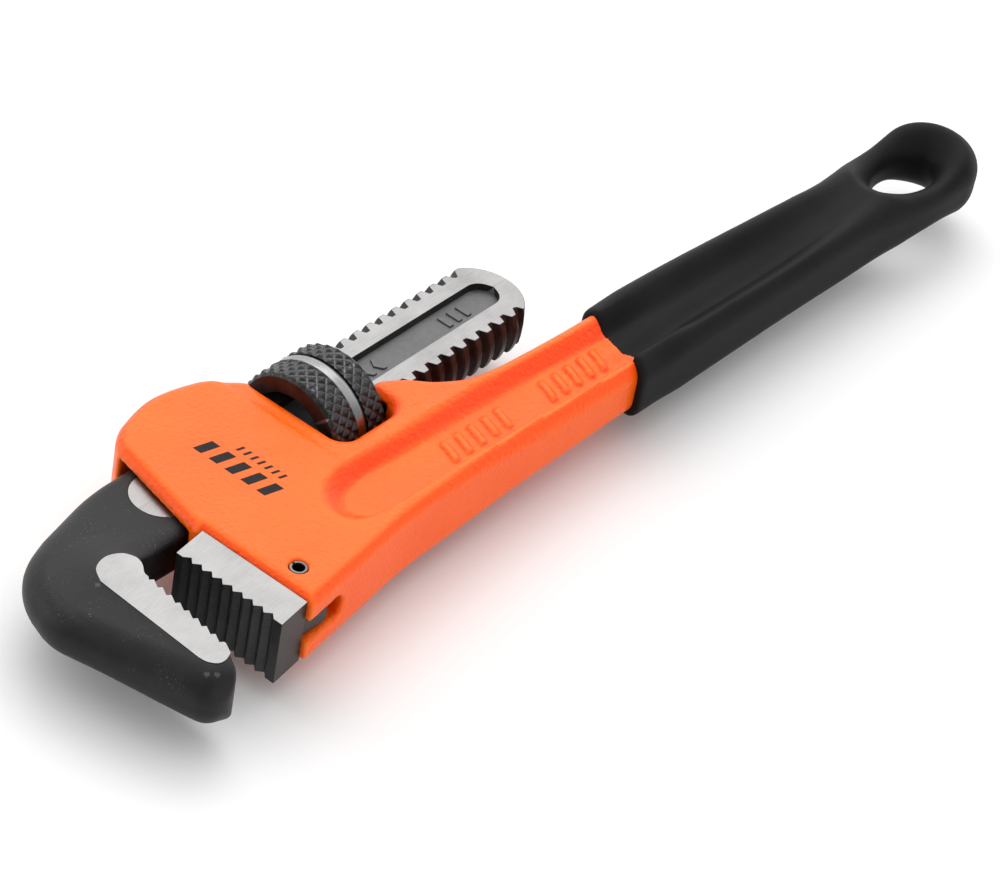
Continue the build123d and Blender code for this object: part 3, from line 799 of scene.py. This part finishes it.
def shank():
    """Flat ground shank with its helical thread and the recess for the raised marks."""
    heights = np.linspace(SHANK_HALF, -SHANK_HALF, 13)
    stations = shank_stations()
    vertices = []
    for x in stations:
        right, left = edge_points(x, heights, 1), edge_points(x, heights, -1)
        wall = max(recess_half_width(x), 0.02)
        floor = max(wall - 0.3, 0.01)
        depth = RECESS_DEPTH * min(wall / 1.2, 1.0)
        wall = min(wall, right[0] * 0.7)
        for z_sign, near, far in ((1, left[0], right[0]), (-1, right[-1], left[-1])):
            s = 1 if far > near else -1
            flat = [near + 0.12 * s, -s * (wall + 0.6), -s * wall, -s * floor, -s * floor * 0.5, 0.0,
                    s * floor * 0.5, s * floor, s * wall, s * (wall + 0.6), far - 0.12 * s]
            deep = [0, 0, 0, 1, 1, 1, 1, 1, 0, 0, 0]
            for y, d in zip(flat, deep):
                vertices.append((x, y, z_sign * (SHANK_HALF - d * depth)))
            edge = right if z_sign > 0 else left[::-1]
            for y, z in zip(edge, heights if z_sign > 0 else heights[::-1]):
                vertices.append((x, y, z))
    width = len(vertices) // len(stations)
    faces = lattice((len(stations), width))
    # Slot 2 is the near-black thread steel: on the threaded edges and end caps, and on the two recess walls
    # as painted shade.
    kinds = ([0, 0, 2, 1, 1, 1, 1, 2, 0, 0, 2] + [2] * 13) * 2
    slots = [kinds[j] for _ in range(len(stations) - 1) for j in range(width)]
    faces += [tuple(range(width))[::-1], tuple(range(len(vertices) - width, len(vertices)))]
    slots += [2, 2]
    obj = add_object("shank", vertices, faces, [GROUND, RECESS, THREAD_AND_WALL_SHADE])
    obj.data.polygons.foreach_set("material_index", slots)
    obj.data.set_sharp_from_angle(angle=math.radians(32))
    return obj


def shank_marks():
    """Raised generic marks on both recess floors: dashes and a row of chevrons."""
    pieces = []
    for side in (1, -1):
        z = side * (SHANK_HALF - RECESS_DEPTH)
        low, high = sorted((z - side * 0.1, z + side * 0.4))
        for i in range(3):
            x = -99.5 + i * 3.0
            bar = [(x - 0.7, -1.9), (x + 0.7, -1.9), (x + 0.7, 1.9), (x - 0.7, 1.9)]
            pieces.append(prism(f"shank_bar_{i}_{side + 1}", bar, low, high, [RECESS], 0.18))
        for i in range(4):
            x = -72.0 + i * 3.4
            chevron = [(x, -2.0), (x + 1.2, -2.0), (x + 2.4, 0.0), (x + 1.2, 2.0), (x, 2.0), (x + 1.2, 0.0)]
            pieces.append(prism(f"shank_chevron_{i}_{side + 1}", chevron, low, high, [RECESS], 0.18))
    return pieces


# ---- adjusting nut ------------------------------------------------------------------------------
def knurl(x, angle):
    """Depth below the crest of the diamond knurl."""
    lead = 2 * math.pi * NUT_R / KNURLS
    u = KNURLS * angle / (2 * math.pi) + x / lead
    v = KNURLS * angle / (2 * math.pi) - x / lead
    ridge = np.minimum(np.abs(u - np.round(u)), np.abs(v - np.round(v))) * 2
    return KNURL_DEPTH * (1 - np.clip(ridge * 1.35, 0, 1))


def nut_profile():
    """Outline of the nut from the bore over the rim and back, as (x, radius, knurl share)."""
    half, c = NUT_WIDTH / 2, 0.9
    rows = [(-half, NUT_BORE_R, 0), (-half, NUT_BORE_R + 0.5, 0), (-half, 11.2, 0),
            (-half, NUT_R - c - 0.1, 0)]
    rows += [(-half + c * t, NUT_R - c * (1 - t), t * 0.6) for t in (0.0, 0.4, 0.8)]
    rows += [(x, NUT_R, 1) for x in np.arange(-half + c, -2.1, 0.2)]
    rows += [(-2.0, NUT_R, 0.4), (-1.9, NUT_R - 0.7, 0), (-1.55, NUT_R - 0.75, 0), (-1.4, NUT_R - 0.35, 0)]
    rows += [(x, NUT_R - 0.16, 0) for x in np.linspace(-1.15, 0.9, 6)]
    rows += [(1.05, NUT_R - 0.2, 0), (1.2, NUT_R, 0.4)]
    rows += [(x, NUT_R, 1) for x in np.arange(1.4, half - c, 0.2)]
    rows += [(half - c * t, NUT_R - c * (1 - t), t * 0.6) for t in (0.8, 0.4, 0.0)]
    rows += [(half, NUT_R - c - 0.1, 0), (half, 11.2, 0), (half, NUT_BORE_R + 0.5, 0),
             (half, NUT_BORE_R, 0)]
    return rows


def nut_groove(x, angle):
    """Radius of the bore with its right-hand internal thread."""
    turns = (x + NUT_X - VALLEY_X) / PITCH - 0.25 - angle / (2 * math.pi) + 0.25
    from_ridge = np.abs(turns - np.round(turns)) * PITCH
    rise = (from_ridge - (PITCH / 2 - 1.67)) / 0.47
    return np.clip(NUT_BORE_R + rise, NUT_BORE_R, NUT_ROOT_R)


def nut():
    """Knurled adjusting nut with its thread and bright plain band, one closed surface."""
    count = KNURLS * 14
    angles = np.arange(count) * 2 * math.pi / count
    rings = []
    for x, radius, share in nut_profile():
        rings.append((np.full(count, x), radius - share * knurl(x, angles)))
    half = NUT_WIDTH / 2
    for x in np.linspace(half - 0.02, -half + 0.02, 64):
        rings.append((np.full(count, x), nut_groove(x, angles)))
    vertices = []
    for xs, radii in rings:
        vertices += [(NUT_X + x, r * math.cos(a), r * math.sin(a)) for x, r, a in zip(xs, radii, angles)]
    total = len(rings)
    faces = []
    for i in range(total):
        for j in range(count):
            k, n = (j + 1) % count, (i + 1) % total
            faces.append((i * count + j, n * count + j, n * count + k, i * count + k))
    obj = add_object("nut", vertices, faces, [OXIDE, BAND])
    slots = [int(-1.5 < x < 1.0 and share == 0) for x, _, share in nut_profile()]
    slots += [0] * (total - len(slots))
    obj.data.polygons.foreach_set("material_index", np.repeat(slots, count))
    obj.data.set_sharp_from_angle(angle=math.radians(48))
    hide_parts("adjusting_nut")
    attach(obj, "nut")
    return obj


# ---- heel jaw and pin -----------------------------------------------------------------------------
def heel_block():
    """Toothed heel block with crisp notches and its tongue."""
    foot, top = (HEEL_HEIGHT, 15.6), (HEEL_HEIGHT, 43.25)
    pitch, first = 2.66, 18.6
    outline = [(0.03, 14.55), foot]
    for i in range(HEEL_TEETH):
        y = first + i * pitch
        outline += [(HEEL_HEIGHT, y - 1.3), (HEEL_HEIGHT - 1.1, y), (HEEL_HEIGHT, y + 1.17)]
    outline += [top, (0.03, 42.2)]
    # The walls and notches take the painted-shade steel, for the shadow between the teeth.
    block = prism("heel_block", outline, -HEEL_HALF, HEEL_HALF, [GROUND, SHADED_STEEL], 0.12, 1)
    tongue_plan = [(-8.2, 21.0), (1.0, 21.0), (1.0, 41.6), (-8.2, 41.6)]
    tongue = prism("heel_tongue", tongue_plan, -2.6, 2.6, [SHADED_STEEL], 0.8)
    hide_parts("heel_jaw")
    for piece in (block, tongue):
        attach(piece, "frame")


def roll_pin():
    """Rolled spring pin: a slotted tube with rounded lips."""
    steps, half_gap = 40, math.asin(0.3 / PIN_R)
    open_at = math.radians(-96)
    angles = np.linspace(open_at + half_gap, open_at + 2 * math.pi - half_gap, steps)
    outer, inner = PIN_R, PIN_R - 0.55
    section = [(outer * math.cos(a), outer * math.sin(a)) for a in angles]
    section += [(inner * math.cos(a), inner * math.sin(a)) for a in angles[::-1]]
    outline = [(PIN_XY[0] + x, PIN_XY[1] + y) for x, y in section]
    n = len(outline)
    vertices = [(x, y, z) for z in (-PIN_HALF, PIN_HALF) for x, y in outline]
    faces = [(i, (i + 1) % n, n + (i + 1) % n, n + i) for i in range(n)]
    for i in range(steps - 1):
        j = n - 1 - i
        faces.append((i, j, j - 1, i + 1))
        faces.append((n + i, n + i + 1, n + j - 1, n + j))
    obj = add_object("roll_pin", vertices, faces, [SPRING], smooth=False)
    modifier = obj.modifiers.new("bevel", "BEVEL")
    modifier.width = 0.12 * MM
    modifier.segments = 2
    modifier.angle_limit = math.radians(50)
    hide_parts("heel_jaw_pin")
    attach(obj, "frame")


# ---- printed mark -----------------------------------------------------------------------------------
def printed_marks():
    """Generic black mark on the flat of the housing: slanted bars over a row of small ticks."""
    z = HALF_T + 0.004
    for i in range(5):
        x, y = -16.4, -3.4 + i * 4.3
        bar = [(x, y), (x, y + 2.3), (x - 4.6, y + 3.5), (x - 4.6, y + 1.2)]
        mark = prism(f"print_bar_{i}", bar, z - 0.03, z + 0.008, [INK])
        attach(mark, "frame")
    for i in range(7):
        x, y = -22.6, 2.6 + i * 1.9
        tick = [(x, y), (x, y + 0.7), (x - 1.9, y + 1.2), (x - 1.9, y + 0.5)]
        mark = prism(f"print_tick_{i}", tick, z - 0.03, z + 0.008, [INK])
        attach(mark, "frame")


def inner_steel():
    """Finish for the springs, rivet and plunger that stay as modelled in CAD."""
    for name in ("flat_spring", "flat_spring_rivet", "coil_spring", "spring_plunger"):
        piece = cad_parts[name]
        if piece.material_slots:
            for item in piece.material_slots:
                item.material = SPRING
        else:
            piece.data.materials.append(SPRING)


# ---- studio -----------------------------------------------------------------------------------------
def floor():
    """Pale sweep under the tool."""
    size, n = 3.0, 24
    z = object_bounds()[0][2] - 0.0002
    points = [(size * (i / n - 0.5), size * (j / n - 0.5), z) for i in range(n + 1) for j in range(n + 1)]
    faces = [(i * (n + 1) + j, (i + 1) * (n + 1) + j, (i + 1) * (n + 1) + j + 1, i * (n + 1) + j + 1)
             for i in range(n) for j in range(n)]
    mesh = bpy.data.meshes.new("floor")
    mesh.from_pydata(points, [], faces)
    mesh.materials.append(floor_paper())
    obj = bpy.data.objects.new("floor", mesh)
    bpy.context.scene.collection.objects.link(obj)
    obj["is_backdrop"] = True


def area_light(name, where, target, size, power):
    """Soft rectangular light aimed at a point."""
    data = bpy.data.lights.new(name, "AREA")
    data.shape = "RECTANGLE"
    data.size, data.size_y = size
    data.energy = power
    obj = bpy.data.objects.new(name, data)
    obj.location = where
    obj.rotation_euler = (Vector(target) - Vector(where)).to_track_quat("-Z", "Y").to_euler()
    bpy.context.scene.collection.objects.link(obj)


def lights():
    """Overhead box, two side fills, and a surround that is brightest above and behind the tool."""
    area_light("top_box", (-0.5, -0.4, 0.95), (0, 0, 0), (0.9, 0.6), 3.4)
    area_light("side_box", (0.75, -0.75, 0.3), (0, 0, 0), (0.7, 0.3), 2.0)
    area_light("front_box", (0.35, 1.1, 0.35), (0, 0, 0), (0.9, 0.4), 2.2)
    world = bpy.data.worlds.new("studio")
    world.use_nodes = True
    nodes, links = world.node_tree.nodes, world.node_tree.links
    where = nodes.new("ShaderNodeTexCoord")
    towards = nodes.new("ShaderNodeVectorMath")
    towards.operation = "DOT_PRODUCT"
    towards.inputs[1].default_value = (-0.62, -0.5, 0.6)
    level = nodes.new("ShaderNodeMapRange")
    tone = nodes.new("ShaderNodeValToRGB")
    level.inputs["From Min"].default_value = -1.0
    stops = [(0.0, 0.22), (0.46, 0.26), (0.66, 0.6), (0.85, 0.95), (1.0, 1.0)]
    elements = tone.color_ramp.elements
    while len(elements) < len(stops):
        elements.new(0.5)
    for element, (position, value) in zip(elements, stops):
        element.position = position
        element.color = (value, value, value, 1)
    links.new(where.outputs["Generated"], towards.inputs[0])
    links.new(towards.outputs["Value"], level.inputs["Value"])
    links.new(level.outputs["Result"], tone.inputs["Fac"])
    background = nodes["Background"]
    links.new(tone.outputs["Color"], background.inputs["Color"])
    background.inputs["Strength"].default_value = 1.6
    bpy.context.scene.world = world
    bpy.context.scene.view_settings.view_transform = "Standard"


def camera():
    """Long lens looking down along the tool from beyond the jaws."""
    data = bpy.data.cameras.new("camera")
    data.lens, data.sensor_width, data.sensor_fit = 136.8, 36.0, "HORIZONTAL"
    data.clip_start, data.clip_end = 0.05, 10.0
    right = Vector((-0.6237796, 0.7673385, 0.1486291)).normalized()
    down = Vector((0.4169486, 0.4875292, -0.7671174))
    forward = right.cross(-down).normalized() * -1
    up = (-forward).cross(right)
    turn = Matrix((right, up, -forward)).transposed()
    obj = bpy.data.objects.new("camera", data)
    place = ORIGIN + Vector((448.07, 360.28, 495.38)) * MM
    obj.matrix_world = Matrix.Translation(place) @ turn.to_4x4()
    bpy.context.scene.collection.objects.link(obj)
    bpy.context.scene.camera = obj


def hook_jaw_pieces():
    """All pieces of the moving jaw; the forging stands for the CAD node."""
    forging = hook_forging()
    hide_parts("hook_jaw")
    for piece, slot in [(forging, "forged_steel"), (hook_pad(), "ground_steel"), (shank(), "ground_steel")]:
        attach(piece, "jaw")
    for piece in shank_marks():
        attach(piece, "jaw")


housing_cast()
grip_dip()
hook_jaw_pieces()
nut()
heel_block()
roll_pin()
printed_marks()
inner_steel()
floor()
lights()
camera()
